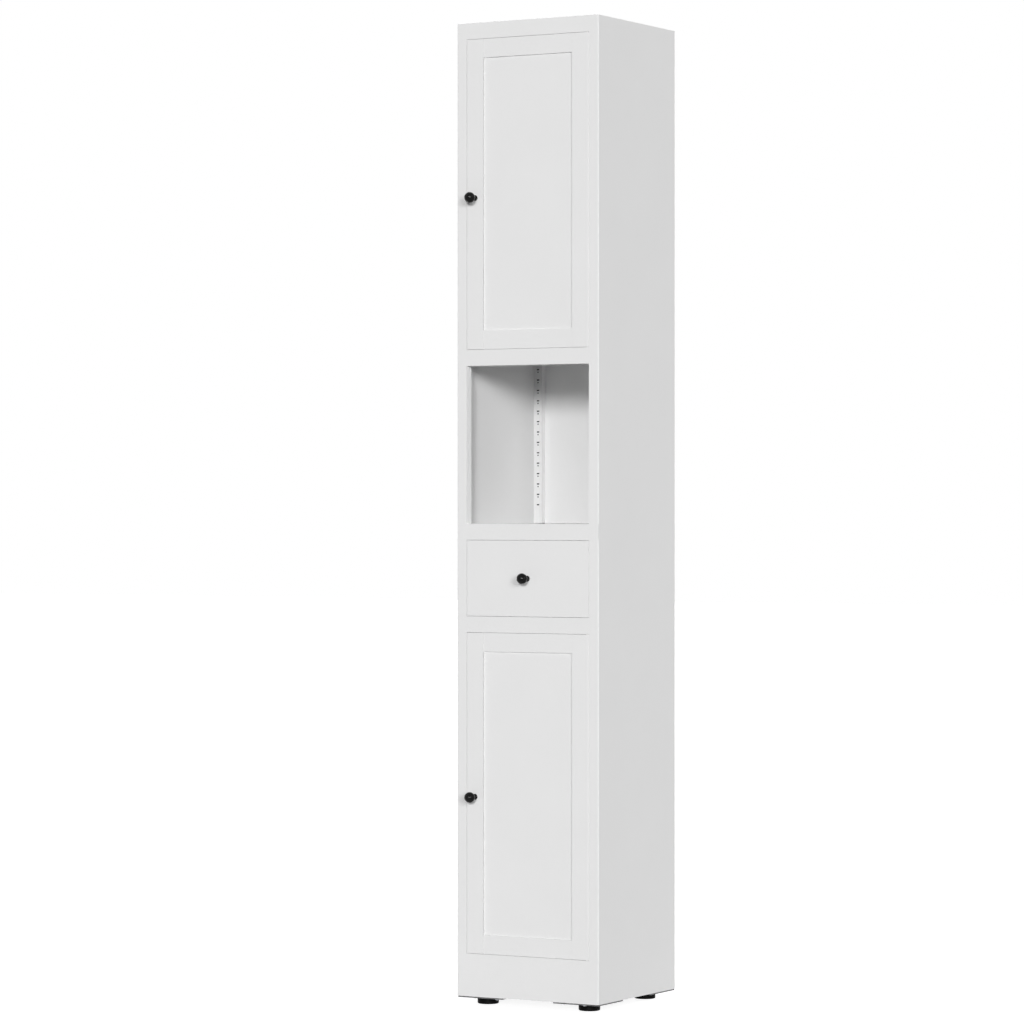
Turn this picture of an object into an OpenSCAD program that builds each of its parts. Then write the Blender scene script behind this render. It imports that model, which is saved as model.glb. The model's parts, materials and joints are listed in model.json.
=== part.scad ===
// Tall bathroom cabinet of folded sheet steel: two stacked units on levelling feet.
// Millimetres. The front faces -Y and +Z is up. The origin is on the floor, in the middle of the
// space that the cabinet takes with its knobs.

/* [Cabinet] */
// Width over the side panels
body_w = 300; // [280:5:360]
// Depth from the front frame to the rear flanges
body_d = 300; // [280:5:360]
// Height of the plinth under the lower door
plinth_h = 80; // [70:2:120]
// Height of the lower door opening
lower_door_h = 598; // [500:2:700]
// Height of the drawer opening
drawer_h = 142; // [130:2:180]
// Height of the open niche
niche_h = 294; // [240:2:360]
// Height of the upper door opening
upper_door_h = 578; // [500:2:700]
// Height of the rails between the openings
rail_h = 30; // [28:1:40]

/* [Folded sheet] */
// Thickness of the steel sheet
sheet = 0.8; // [0.7:0.1:1]
// Outside radius of the bend at the cabinet's upright edges
bend_r = 1.5; // [1.2:0.1:2.5]
// Width of the front stiles
stile_w = 20; // [19:0.5:22]
// Depth of the front stiles
stile_d = 17; // [16:0.5:20]
// Width of the flanges behind the back panels
rear_flange_w = 15; // [14:0.5:18]
// Height of the flanges folded down inside the pans
pan_flange_h = 12; // [10:1:16]
// Depth of the web under each rail
web_d = 45; // [42:1:50]
// Height of the lip at the back of each web
web_lip_h = 10; // [6:1:12]
// Depth of the lips along the bottom and the joint between the units
joint_lip = 20; // [18:1:24]
// How far the middle pan sits in from the side skins
mid_inset = 0.3; // [0.2:0.1:0.6]
// Width of the flange that the upper side panels stand on
foot_flange_w = 12; // [8:1:16]

/* [Slotted posts] */
// Width of the rear posts
post_w = 18; // [17:0.5:20]
// Distance from the rear face of a rear post to the back of the cabinet
post_back = 14; // [12:0.5:18]
// Distance from one shelf slot to the next
slot_pitch = 20; // [16:1:25]
// Height of the lowest slot above the floor of its unit
first_slot = 36; // [30:1:45]
// Width of a slot
slot_w = 5.5; // [5:0.1:6.5]
// Height of a slot
slot_h = 2.3; // [2.1:0.1:2.8]
// Diameter of the round hole under a slot
peg_hole_d = 2.8; // [2:0.1:3.2]
// Distance from a slot down to its round hole
peg_drop = 5; // [4:0.5:6]
// Distance from the side skin to the middle of the slots
slot_in = 9; // [8:0.5:10]

/* [Doors and drawer] */
// Gap round each door and the drawer front
door_gap = 0.5; // [0.45:0.05:0.7]
// Thickness of the doors and the drawer front
door_t = 14; // [13:0.5:15]
// Width of the frame round a door's panel
frame_w = 35; // [30:1:45]
// How far the frame's rails lie behind its stiles
rail_set = 0.7; // [0.4:0.1:0.9]
// Depth of a door's recessed panel
recess_d = 3; // [2.5:0.5:5]
// Outside radius of the bend at the upright edges of the drawer front and at a door's knob edge
door_edge_r = 1; // [0.9:0.1:1.4]
// Outside radius of the bend at a door's hinge edge
hinge_edge_r = 2.5; // [2.4:0.1:2.8]
// Depth of the folded rim of a liner
liner_rim = 7; // [6:0.5:8]
// Distance from a door's hinge edge to its pin
pin_in = 4; // [3.9:0.1:4.2]
// Distance from a door's front face to its pin
pin_back = 3.3; // [3.2:0.1:3.4]
// Diameter of a hinge pin
pin_d = 3; // [2.5:0.1:3]
// Diameter of a hinge pin's head
pin_head_d = 4.8; // [4.2:0.1:4.8]
// Height of a hinge pin's head
pin_head_h = 1.2; // [0.8:0.1:1.5]
// Depth that a hinge pin reaches into its door
pin_reach = 8; // [6:0.5:9]
// Wall of a hinge bush
bush_wall = 0.8; // [0.6:0.1:0.8]
// How far the flange of a hinge bush stands out from the bush
bush_flange = 0.4; // [0.3:0.1:0.5]
// Length of a hinge bush inside the door
bush_l = 9; // [9:0.5:12]

/* [Knobs] */
// Diameter of a knob's ball
knob_ball_d = 20; // [16:1:24]
// Distance from the face to the middle of the ball
knob_stand = 20; // [16:1:24]
// Diameter of a knob's base
knob_base_d = 11; // [10:0.5:14]
// Diameter of a knob's neck
knob_neck_d = 7; // [6:0.5:9]
// Height of the flare at a knob's base
knob_flare_h = 4; // [3:0.5:6]
// Diameter of the knob screws
knob_screw_d = 4; // [3:0.5:4]
// Depth of the screw in a knob
knob_thread_l = 8; // [6:0.5:9]
// Distance from the middle of a door's height down to its knob
knob_drop = 7; // [0:0.5:20]

/* [Catches] */
// Width of a catch housing
catch_w = 40; // [36:1:48]
// Depth of a catch housing
catch_d = 16; // [15:0.5:20]
// Height of a catch housing
catch_h = 12; // [11:0.5:14]
// Distance from the opening's edge to the middle of the catch
catch_in = 45; // [30:1:60]
// Width of a magnet
magnet_w = 28; // [20:1:30]
// Depth of a magnet
magnet_d = 5; // [4:0.5:6]
// Height of a magnet
magnet_h = 7; // [5:0.5:8]
// Width of a strike plate
strike_w = 32; // [28:1:36]
// Height of a strike plate
strike_h = 10; // [8:0.5:10]
// Thickness of a strike plate
strike_t = 1.2; // [1:0.1:1.5]
// Distance between the screws of a catch
catch_screw_gap = 24; // [20:1:28]

/* [Drawer] */
// Height of the drawer box
box_h = 96; // [70:1:100]
// Height of the drawer box above the floor of its opening
box_lift = 8; // [6:0.5:12]
// Gap between the sheets of the drawer box, at their spot-welded seams
box_seam = 0.1; // [0.1:0.1:0.3]
// Height of a fixed runner
runner_h = 22; // [20:0.5:26]
// Width of a fixed runner's flanges
runner_w = 11; // [10:0.5:14]
// Thickness of the runners and rails
runner_t = 1; // [0.8:0.1:1.2]
// Room between a fixed runner and the rail above and below it
glide_room = 2; // [1.5:0.1:3]
// Length of the nylon glides
glide_l = 12; // [8:1:16]
// Length of the rubber stops
stop_l = 6; // [4:0.5:8]
// Height of the runners' middle above the drawer opening's floor
runner_up = 62; // [50:1:70]

/* [Shelves] */
// Height of an adjustable shelf's folded edge
shelf_h = 18; // [14:1:22]
// Width of the lip under a shelf's edge
shelf_lip = 8; // [5:1:12]
// Gap between a shelf and the side skins
shelf_side_gap = 1; // [0.8:0.1:2]
// Distance from the front lip to a shelf
shelf_front_gap = 6; // [5:0.5:8]
// Width of a shelf clip
clip_w = 10; // [8:0.5:12]
// Depth of a shelf clip's ledge
clip_ledge = 14; // [12:0.5:18]
// Height of a shelf clip
clip_h = 12; // [10:0.5:14]
// Thickness of a shelf clip
clip_t = 1.2; // [1:0.1:1.5]

/* [Feet] */
// Diameter of a foot's pad
pad_d = 40; // [34:1:46]
// Height of a foot's pad
pad_h = 10; // [8:0.5:14]
// Radius of a pad's lower edge
pad_edge_r = 2.5; // [1:0.5:4]
// Diameter of the collar on a pad
collar_d = 16; // [14:0.5:20]
// Height of the collar on a pad
collar_h = 3.5; // [3:0.5:8]
// Diameter of a foot's stud
stud_d = 8; // [6:1:8]
// Length of a foot's stud above its collar
stud_l = 28; // [24:1:36]
// Distance from the cabinet's faces to the middle of a foot
foot_in = 42; // [40:1:48]
// Length of a corner plate along each face
plate_leg = 95; // [90:1:110]
// Width of a corner plate's ends
plate_end = 22; // [18:1:30]
// Thickness of a corner plate
plate_t = 2.5; // [2:0.1:3]

/* [Fasteners] */
// Diameter of the back panel and corner plate screws
small_screw_d = 3.5; // [3:0.1:4]
// Head diameter of the small screws
small_head_d = 7; // [6:0.5:8]
// Head height of the small screws
small_head_h = 1.6; // [1.2:0.1:2]
// Length of the small screws
small_screw_l = 8; // [7:0.5:9]
// Distance between the screws up the back
back_screw_pitch = 210; // [150:5:260]
// Diameter of the bolts that join the two units
bolt_d = 6; // [5:0.5:6]
// Distance across the flats of those bolts and nuts
bolt_flats = 10; // [9:0.5:11]
// Head height of those bolts
bolt_head_h = 4; // [3:0.5:5]
// Height of those nuts
nut_h = 5; // [4:0.5:6]

/* [Hidden] */
$fn = 48;

// Clearances: round parts that turn or slide, round parts that are only passed, and faces
turn_play = 0.05;
pass_play = 0.25;
seat_gap = 0.2;
over = 1;

// Levels, from the floor up
z_body = pad_h + collar_h + plate_t;
z_floor = z_body + plinth_h;
z_lower_top = z_floor + lower_door_h;
z_drawer_floor = z_lower_top + rail_h;
z_split = z_drawer_floor + drawer_h;
z_niche_floor = z_split + rail_h;
z_niche_top = z_niche_floor + niche_h;
z_upper_floor = z_niche_top + rail_h;
z_upper_top = z_upper_floor + upper_door_h;
z_top = z_upper_top + rail_h;

// Depths, from the front back
knob_reach = knob_stand + knob_ball_d / 2;
y_front = knob_reach - (knob_reach + body_d + small_head_h) / 2;
y_rear = y_front + body_d;
y_lip = y_front + stile_d;
y_panel = y_rear - 2 * sheet;
y_post = y_rear - post_back;

// Half widths, from the middle out
x_out = body_w / 2;
x_in = x_out - sheet;
x_back = x_out - bend_r;
x_open = x_out - stile_w;
x_post = x_in - post_w;
x_slot = x_in - slot_in;

// Hinge pins
x_pin = x_open - door_gap - pin_in;
y_pin = y_front + pin_back;
bush_d = pin_d + 2 * turn_play + 2 * bush_wall;

// Knobs
x_knob = -(x_open - door_gap - frame_w / 2);
z_upper_knob = (z_upper_floor + z_upper_top) / 2 - knob_drop;
z_drawer_knob = (z_drawer_floor + z_split) / 2;
z_lower_knob = (z_floor + z_lower_top) / 2 - knob_drop;
knob_head_d = 2 * knob_screw_d - seat_gap;
knob_head_h = 0.6 * knob_screw_d;

// Catches
x_catch = -(x_open - catch_in);
y_catch = y_front + door_t + strike_t + seat_gap;
catch_head_d = 1.9 * small_screw_d;
catch_hole_y = y_catch + magnet_d + (catch_d - magnet_d) / 2;
catch_tip = 3;

// Drawer
x_box = x_open - runner_w - seat_gap - runner_t;
x_rail = x_open - runner_t;
y_box_rear = y_post - runner_t - seat_gap - stop_l - glide_l;
runner_in_h = runner_h - 2 * runner_t;
rail_out_h = runner_in_h - 2 * glide_room;

// Screws that hold the corner plates, measured along a leg and in from the faces
plate_inset = 1;
plate_screw_in = 10;
plate_screw_spots = [34, 80];
plate_screw_l = plate_t + sheet + small_screw_d;

// Bolts that join the two units
bolt_x = x_out - joint_lip / 2 - sheet;
bolt_y_shares = [0.25, 0.75];

// Places of the adjustable shelves, as shares of the height of their cupboard
upper_shelf_shares = [1 / 3, 2 / 3];
lower_shelf_shares = [1 / 2];

coat = [0.88, 0.88, 0.88];
steel = [0.45, 0.45, 0.47];
black = [0.04, 0.04, 0.04];
zinc = [0.72, 0.74, 0.76];
nylon = [0.93, 0.93, 0.9];
magnet_grey = [0.25, 0.25, 0.27];

// Heights of the slots in a unit, from its floor up to its top
function slot_levels(floor_z, top_z) =
    [for (z = [floor_z + first_slot : slot_pitch : top_z - slot_h - sheet]) z];

// The slot nearest to a wanted height
function slot_near(floor_z, wanted_z) =
    floor_z + first_slot + slot_pitch * round((wanted_z - floor_z - first_slot) / slot_pitch);

function shelf_levels(unit_floor, floor_z, top_z, shares) =
    [for (share = shares) slot_near(unit_floor, floor_z + share * (top_z - floor_z))];

lower_shelf_z = shelf_levels(z_floor, z_floor, z_lower_top, lower_shelf_shares);
upper_shelf_z = shelf_levels(z_niche_floor, z_upper_floor, z_upper_top, upper_shelf_shares);
z_runner = slot_near(z_floor, z_drawer_floor + runner_up);

// A box from its lowest to its highest place along each axis
module block(x, y, z) {
    translate([x[0], y[0], z[0]]) cube([x[1] - x[0], y[1] - y[0], z[1] - z[0]]);
}

module both_sides() {
    children();
    mirror([1, 0, 0]) children();
}

module on_left() {
    mirror([1, 0, 0]) children();
}

// An upright round bar or hole between two levels
module upright_rod(x, y, z, d) {
    translate([x, y, z[0]]) cylinder(d = d, h = z[1] - z[0]);
}

// A round bar or hole along Y, from one depth to another
module level_rod(x, y, z, d) {
    translate([x, y[1], z]) rotate([90, 0, 0]) cylinder(d = d, h = y[1] - y[0]);
}

// A quarter of a bent sheet edge, seen from above, with its corner at (x, y)
module bend_outline(x, y, x_way, y_way) {
    translate([x, y])
        scale([x_way, y_way])
            intersection() {
                difference() {
                    circle(r = bend_r);
                    circle(r = bend_r - sheet);
                }
                square(bend_r);
            }
}

// A screw that hangs from its head at z = 0, with a cross cut in the head
module screw(d, length, head_d, head_h) {
    cross_t = head_d / 8;
    cross_l = head_d / 2;
    difference() {
        union() {
            cylinder(d = head_d, h = head_h);
            translate([0, 0, -length]) cylinder(d = d, h = length + head_h / 2);
        }
        for (turn = [0, 90])
            rotate([0, 0, turn])
                translate([-cross_l / 2, -cross_t / 2, head_h / 2]) cube([cross_l, cross_t, head_h]);
    }
}

// Holes and slots of one slotted lip or post, cut along Y
module slot_cuts(levels, y) {
    for (z = levels) {
        block([x_slot - slot_w / 2, x_slot + slot_w / 2], y, [z - slot_h / 2, z + slot_h / 2]);
        if (z > levels[0]) level_rod(x_slot, y, z - peg_drop, peg_hole_d);
    }
}

// Side panels, made as the right one

module side_skin_outline() {
    translate([x_in, y_front + bend_r]) square([sheet, body_d - 2 * bend_r]);
    bend_outline(x_out - bend_r, y_front + bend_r, 1, -1);
    bend_outline(x_out - bend_r, y_rear - bend_r, 1, 1);
    translate([x_open, y_front]) square([stile_w - bend_r, sheet]);
    translate([x_out - rear_flange_w, y_rear - sheet]) square([rear_flange_w - bend_r, sheet]);
}

module side_stile_outline() {
    translate([x_open, y_front]) square([sheet, stile_d]);
    translate([x_open, y_lip - sheet]) square([x_in - x_open, sheet]);
}

module side_panel(z_low, z_high, z_stile_high, levels) {
    difference() {
        union() {
            translate([0, 0, z_low]) linear_extrude(z_high - z_low) side_skin_outline();
            translate([0, 0, z_low]) linear_extrude(z_stile_high - z_low) side_stile_outline();
        }
        slot_cuts(levels, [y_lip - sheet - over, y_lip + over]);
        back_screw_cuts(z_low, z_high);
    }
}

module lower_side() {
    color(coat) difference() {
        union() {
            side_panel(z_body, z_split, z_split, slot_levels(z_floor, z_split));
            for (z = [z_body, z_split - sheet])
                block([x_out - joint_lip, x_in], [y_front + sheet, y_panel], [z, z + sheet]);
        }
        joint_bolt_cuts([z_split - 2 * sheet, z_split + over]);
        corner_screw_cuts([z_body - over, z_body + 2 * sheet], turn_play);
    }
}

module upper_side() {
    color(coat) {
        side_panel(z_niche_floor, z_top, z_top - sheet, slot_levels(z_niche_floor, z_top));
        block([x_in - foot_flange_w, x_in], [y_lip, y_panel], [z_niche_floor, z_niche_floor + sheet]);
    }
}

// Back panels, held by screws through the side panels' rear flanges

function back_screw_levels(z_low, z_high) =
    let (rows = ceil((z_high - z_low) / back_screw_pitch))
    [for (row = [0 : rows - 1]) z_low + (row + 0.5) * (z_high - z_low) / rows];

module back_screw_cuts(z_low, z_high) {
    for (z = back_screw_levels(z_low, z_high))
        level_rod(x_out - rear_flange_w / 2, [y_panel - over, y_rear + over], z,
            small_screw_d + 2 * turn_play);
}

module back_panel(z_low, z_high) {
    difference() {
        block([-x_back, x_back], [y_panel, y_panel + sheet], [z_low, z_high]);
        both_sides() back_screw_cuts(z_low, z_high);
    }
}

module lower_back_panel() {
    x = x_out - joint_lip;
    color(coat) difference() {
        union() {
            back_panel(z_body, z_split);
            block([-x, x], [y_panel - joint_lip, y_panel], [z_body, z_body + sheet]);
        }
        both_sides() corner_screw_cuts([z_body - over, z_body + 2 * sheet], turn_play);
    }
}

module upper_back_panel() {
    color(coat) back_panel(z_niche_floor, z_top);
}

module back_screws() {
    color(zinc) both_sides()
        for (z = concat(back_screw_levels(z_body, z_split), back_screw_levels(z_niche_floor, z_top)))
            translate([x_out - rear_flange_w / 2, y_rear, z])
                rotate([-90, 0, 0]) screw(small_screw_d, small_screw_l, small_head_d, small_head_h);
}

// Rear posts, folded to a channel that is open to the back panel

module post(z_low, z_high, levels) {
    color(coat) difference() {
        block([x_post, x_in], [y_post, y_panel], [z_low, z_high]);
        block([x_post + sheet, x_in - sheet], [y_post + sheet, y_panel + over],
            [z_low - over, z_high + over]);
        slot_cuts(levels, [y_post - over, y_post + 2 * sheet]);
    }
}

module lower_post() {
    post(z_body + sheet, z_split - sheet, slot_levels(z_floor, z_split));
}

module upper_post() {
    post(z_niche_floor + sheet, z_top - sheet, slot_levels(z_niche_floor, z_top));
}

// Pans: each is one sheet with a rail folded down at the front

// Seen from above: between the stiles, between the skins, and between the rear posts
module pan_outline() {
    translate([-x_open, y_front]) square([2 * x_open, stile_d]);
    translate([-x_in, y_lip]) square([2 * x_in, y_post - y_lip]);
    translate([-x_post, y_post]) square([2 * x_post, y_panel - y_post]);
}

module pan_flanges(z) {
    both_sides() block([x_in - sheet, x_in], [y_lip, y_post], [z - pan_flange_h, z]);
    block([-x_post, x_post], [y_panel - sheet, y_panel], [z - pan_flange_h, z]);
}

// The rail at the front of a pan, with the web that runs back under it
module rail_and_web(z_low, z_high) {
    block([-x_open, x_open], [y_front, y_front + sheet], [z_low, z_high]);
    block([-x_open, x_open], [y_front, y_front + web_d], [z_low, z_low + sheet]);
    block([-x_open, x_open], [y_front + web_d - sheet, y_front + web_d], [z_low, z_low + web_lip_h]);
}

module flat_pan(z_low, z_high) {
    translate([0, 0, z_high - sheet]) linear_extrude(sheet) pan_outline();
    pan_flanges(z_high);
    rail_and_web(z_low, z_high);
}

module pin_cut(z) {
    upright_rod(x_pin, y_pin, [z - over, z + sheet + over], pin_d + 2 * turn_play);
}

module catch_screw_cuts(z) {
    for (side = [-1, 1])
        upright_rod(x_catch + side * catch_screw_gap / 2, catch_hole_y, [z - over, z + sheet + over],
            small_screw_d + 2 * turn_play);
}

module base_pan() {
    color(coat) difference() {
        union() {
            translate([0, 0, z_floor - sheet]) linear_extrude(sheet) pan_outline();
            pan_flanges(z_floor);
            block([-x_open, x_open], [y_front, y_front + sheet], [z_body, z_floor]);
            block([-x_open, x_open], [y_front, y_front + joint_lip], [z_body, z_body + sheet]);
        }
        pin_cut(z_floor - sheet);
        both_sides() corner_screw_cuts([z_body - over, z_body + 2 * sheet], turn_play);
    }
}

module drawer_floor_pan() {
    color(coat) difference() {
        flat_pan(z_lower_top, z_drawer_floor);
        pin_cut(z_lower_top);
        catch_screw_cuts(z_lower_top);
    }
}

module middle_pan() {
    color(coat) difference() {
        block([-x_out + mid_inset, x_out - mid_inset], [y_front, y_rear], [z_split, z_niche_floor]);
        block([-x_in + mid_inset, x_in - mid_inset], [y_front + sheet, y_rear - sheet],
            [z_split + sheet, z_niche_floor - sheet]);
        block([-x_out + joint_lip, x_out - joint_lip], [y_front + joint_lip, y_rear - joint_lip],
            [z_split - over, z_split + 2 * sheet]);
        both_sides() joint_bolt_cuts([z_split - over, z_split + 2 * sheet]);
    }
}

module niche_ceiling_pan() {
    color(coat) difference() {
        flat_pan(z_niche_top, z_upper_floor);
        pin_cut(z_upper_floor - sheet);
    }
}

module top_pan() {
    color(coat) difference() {
        union() {
            block([-x_in, x_in], [y_front + bend_r, y_panel], [z_top - sheet, z_top]);
            block([-x_back, x_back], [y_front + sheet, y_front + bend_r], [z_top - sheet, z_top]);
            pan_flanges(z_top - sheet);
            rail_and_web(z_upper_top, z_top);
        }
        pin_cut(z_upper_top);
        catch_screw_cuts(z_upper_top);
    }
}

// Bolts and nuts through the flanges of the lower side panels and the lips of the middle pan

module at_joint_bolts() {
    for (share = bolt_y_shares) translate([bolt_x, y_front + share * body_d, 0]) children();
}

module joint_bolt_cuts(z) {
    at_joint_bolts() upright_rod(0, 0, z, bolt_d + 2 * pass_play);
}

module hexagon(flats, height) {
    cylinder(d = flats / cos(30), h = height, $fn = 6);
}

module joint_bolts() {
    shank = 2 * sheet + nut_h + bolt_d / 3;
    color(zinc) both_sides() at_joint_bolts() {
        translate([0, 0, z_split - sheet - bolt_head_h]) hexagon(bolt_flats, bolt_head_h);
        upright_rod(0, 0, [z_split - sheet - bolt_head_h / 2, z_split - sheet + shank], bolt_d);
    }
}

module joint_nuts() {
    color(zinc) both_sides() at_joint_bolts() difference() {
        translate([0, 0, z_split + sheet]) hexagon(bolt_flats, nut_h);
        upright_rod(0, 0, [z_split, z_split + sheet + nut_h + over], bolt_d + 2 * turn_play);
    }
}

// Adjustable shelves and the clips that hook into the slots

module shelf(levels, index) {
    z = levels[index] + clip_h / 2;
    x = x_in - shelf_side_gap;
    y = [y_lip + shelf_front_gap, y_post - clip_t - seat_gap];
    color(coat) difference() {
        block([-x, x], y, [z, z + shelf_h]);
        block([-x + sheet, x - sheet], [y[0] + sheet, y[1] - sheet], [z + sheet, z + shelf_h - sheet]);
        block([-x + shelf_lip, x - shelf_lip], [y[0] + shelf_lip, y[1] - shelf_lip],
            [z - over, z + 2 * sheet]);
    }
}

// One clip for a slotted face that looks along +Y, with its slot at the origin
module shelf_clip() {
    hook_w = slot_w - 2 * pass_play;
    hook_h = slot_h - 2 * pass_play;
    hook_l = sheet + clip_t;
    block([-clip_w / 2, clip_w / 2], [0, clip_t], [-clip_h / 2, clip_h / 2]);
    block([-clip_w / 2, clip_w / 2], [0, clip_ledge], [clip_h / 2 - clip_t, clip_h / 2]);
    block([-hook_w / 2, hook_w / 2], [-hook_l, clip_t], [-hook_h / 2, hook_h / 2]);
}

module shelf_clips() {
    color(zinc) both_sides()
        for (z = concat(lower_shelf_z, upper_shelf_z)) {
            translate([x_slot, y_lip, z]) shelf_clip();
            translate([x_slot, y_post, z]) mirror([0, 1, 0]) shelf_clip();
        }
}

// Doors and drawer front: a folded skin, closed behind by a liner

// Seen from above, set in from the outer faces by one value; r holds the left and right bends
module door_outline(inset, depth, r) {
    x = x_open - door_gap - inset;
    y = y_front + inset;
    left = r[0] - inset;
    right = r[1] - inset;
    translate([-x + left, y]) square([2 * x - left - right, depth - inset]);
    translate([-x, y + left]) square([x, depth - inset - left]);
    translate([0, y + right]) square([x, depth - inset - right]);
    translate([-x + left, y + left]) circle(r = left);
    translate([x - right, y + right]) circle(r = right);
}

module door_shell(z_low, z_high, r) {
    z = [z_low + door_gap, z_high - door_gap];
    difference() {
        translate([0, 0, z[0]]) linear_extrude(z[1] - z[0]) door_outline(0, door_t, r);
        translate([0, 0, z[0] + sheet])
            linear_extrude(z[1] - z[0] - 2 * sheet) door_outline(sheet, door_t + over, r);
    }
}

// The sheet steps back once between the stiles, and again inside the frame
module door_skin(z_low, z_high) {
    x = x_open - door_gap - frame_w;
    z_rails = [z_low + door_gap, z_high - door_gap];
    z_panel = [z_rails[0] + frame_w, z_rails[1] - frame_w];
    color(coat) difference() {
        union() {
            door_shell(z_low, z_high, [door_edge_r, hinge_edge_r]);
            block([-x - sheet, x + sheet], [y_front, y_front + rail_set + sheet], z_rails);
            block([-x - sheet, x + sheet], [y_front, y_front + recess_d + sheet],
                [z_panel[0] - sheet, z_panel[1] + sheet]);
        }
        block([-x, x], [y_front - over, y_front + rail_set], [z_rails[0] - over, z_rails[1] + over]);
        block([-x, x], [y_front - over, y_front + recess_d], z_panel);
        knob_screw_cut(x_knob, (z_low + z_high) / 2 - knob_drop);
        bush_cut(z_rails[0]);
        bush_cut(z_rails[1] - sheet);
    }
}

module bush_cut(z) {
    upright_rod(x_pin, y_pin, [z - over, z + sheet + over], bush_d);
}

module knob_screw_cut(x, z) {
    level_rod(x, [y_front - over, y_front + door_t + over], z, knob_screw_d + 2 * turn_play);
}

module liner(z_low, z_high) {
    x = x_open - door_gap - sheet;
    y = y_front + door_t;
    z = [z_low + door_gap + sheet, z_high - door_gap - sheet];
    difference() {
        block([-x, x], [y - liner_rim, y], z);
        block([-x + sheet, x - sheet], [y - liner_rim - over, y - sheet], [z[0] + sheet, z[1] - sheet]);
    }
}

module door_liner(z_low, z_high) {
    color(coat) difference() {
        liner(z_low, z_high);
        knob_screw_cut(x_knob, (z_low + z_high) / 2 - knob_drop);
    }
}

// Nylon bushes in the door's bottom and top edges, their flanges in the gaps round the door
module door_bushes(z_low, z_high) {
    bore = pin_d + 2 * turn_play;
    flange_h = door_gap - 2 * turn_play;
    flange_d = bush_d + 2 * bush_flange;
    color(nylon)
        for (end = [[z_low + door_gap, 1], [z_high - door_gap, -1]])
            translate([x_pin, y_pin, end[0]]) scale([1, 1, end[1]]) difference() {
                union() {
                    translate([0, 0, -flange_h]) cylinder(d = flange_d, h = flange_h);
                    cylinder(d = bush_d, h = bush_l);
                }
                translate([0, 0, -flange_h - over]) cylinder(d = bore, h = flange_h + bush_l + 2 * over);
            }
}

module hinge_pins() {
    length = sheet + door_gap + pin_reach;
    color(zinc)
        for (end = [[z_floor, 1], [z_lower_top, -1], [z_upper_floor, 1], [z_upper_top, -1]])
            translate([x_pin, y_pin, end[0]]) scale([1, 1, end[1]]) {
                translate([0, 0, -sheet - pin_head_h]) cylinder(d = pin_head_d, h = pin_head_h);
                translate([0, 0, -sheet - pin_head_h / 2]) cylinder(d = pin_d, h = length + pin_head_h / 2);
            }
}

// Knobs

module knob(x, z) {
    neck_l = knob_stand - knob_ball_d / 4;
    color(black) translate([x, y_front, z]) rotate([90, 0, 0]) difference() {
        union() {
            cylinder(d1 = knob_base_d, d2 = knob_neck_d, h = knob_flare_h);
            cylinder(d = knob_neck_d, h = neck_l);
            translate([0, 0, knob_stand]) sphere(d = knob_ball_d);
        }
        translate([0, 0, -over]) cylinder(d = knob_screw_d + 2 * turn_play, h = knob_thread_l + 2 * over);
    }
}

module knob_screw(x, z, wall) {
    color(zinc) translate([x, y_front + wall, z]) rotate([-90, 0, 0])
        screw(knob_screw_d, wall + knob_thread_l, knob_head_d, knob_head_h);
}

// Catches and strike plates

module catch_housings() {
    head_room = small_head_h + seat_gap;
    color(nylon) for (z = [z_lower_top, z_upper_top]) difference() {
        block([x_catch - catch_w / 2, x_catch + catch_w / 2], [y_catch, y_catch + catch_d], [z - catch_h, z]);
        block([x_catch - magnet_w / 2, x_catch + magnet_w / 2], [y_catch - over, y_catch + magnet_d],
            [z - catch_h / 2 - magnet_h / 2, z - catch_h / 2 + magnet_h / 2]);
        for (side = [-1, 1]) {
            x = x_catch + side * catch_screw_gap / 2;
            low = z - catch_h - over;
            upright_rod(x, catch_hole_y, [low, z + over], small_screw_d + 2 * turn_play);
            upright_rod(x, catch_hole_y, [low, z - catch_h + head_room], catch_head_d + 2 * turn_play);
        }
    }
}

module catch_magnets() {
    color(magnet_grey) for (z = [z_lower_top, z_upper_top])
        block([x_catch - magnet_w / 2, x_catch + magnet_w / 2], [y_catch, y_catch + magnet_d],
            [z - catch_h / 2 - magnet_h / 2, z - catch_h / 2 + magnet_h / 2]);
}

module catch_screws() {
    head_room = small_head_h + seat_gap;
    color(zinc)
        for (z = [z_lower_top, z_upper_top], side = [-1, 1])
            translate([x_catch + side * catch_screw_gap / 2, catch_hole_y, z - catch_h + head_room])
                mirror([0, 0, 1])
                    screw(small_screw_d, catch_h - head_room + sheet + catch_tip, catch_head_d, small_head_h);
}

module strike_plate(z_top_open) {
    y = y_front + door_t;
    z = z_top_open - catch_h / 2 - seat_gap;
    color(zinc) block([x_catch - strike_w / 2, x_catch + strike_w / 2], [y, y + strike_t],
        [z - strike_h / 2 - door_gap / 2, z + strike_h / 2 - door_gap / 2]);
}

// Drawer: runners fixed to the slotted posts, rails on the box, and nylon between them

module drawer_runner() {
    z = [z_runner - runner_h / 2, z_runner + runner_h / 2];
    x = [x_open - runner_w, x_open + runner_t];
    x_tab = x_in - seat_gap;
    hook_w = slot_w - 2 * pass_play;
    hook_h = slot_h - 2 * pass_play;
    color(zinc) {
        difference() {
            block(x, [y_lip, y_post], z);
            block([x[0] - over, x_open], [y_lip - over, y_post - runner_t],
                [z[0] + runner_t, z[1] - runner_t]);
        }
        block([x_open, x_tab], [y_lip, y_lip + runner_t], z);
        block([x_open, x_tab], [y_post - runner_t, y_post], z);
        block([x_slot - hook_w / 2, x_slot + hook_w / 2], [y_lip - sheet - runner_t, y_lip + runner_t],
            [z_runner - hook_h / 2, z_runner + hook_h / 2]);
        block([x_slot - hook_w / 2, x_slot + hook_w / 2], [y_post - runner_t, y_post + sheet + runner_t],
            [z_runner - hook_h / 2, z_runner + hook_h / 2]);
    }
}

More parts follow.
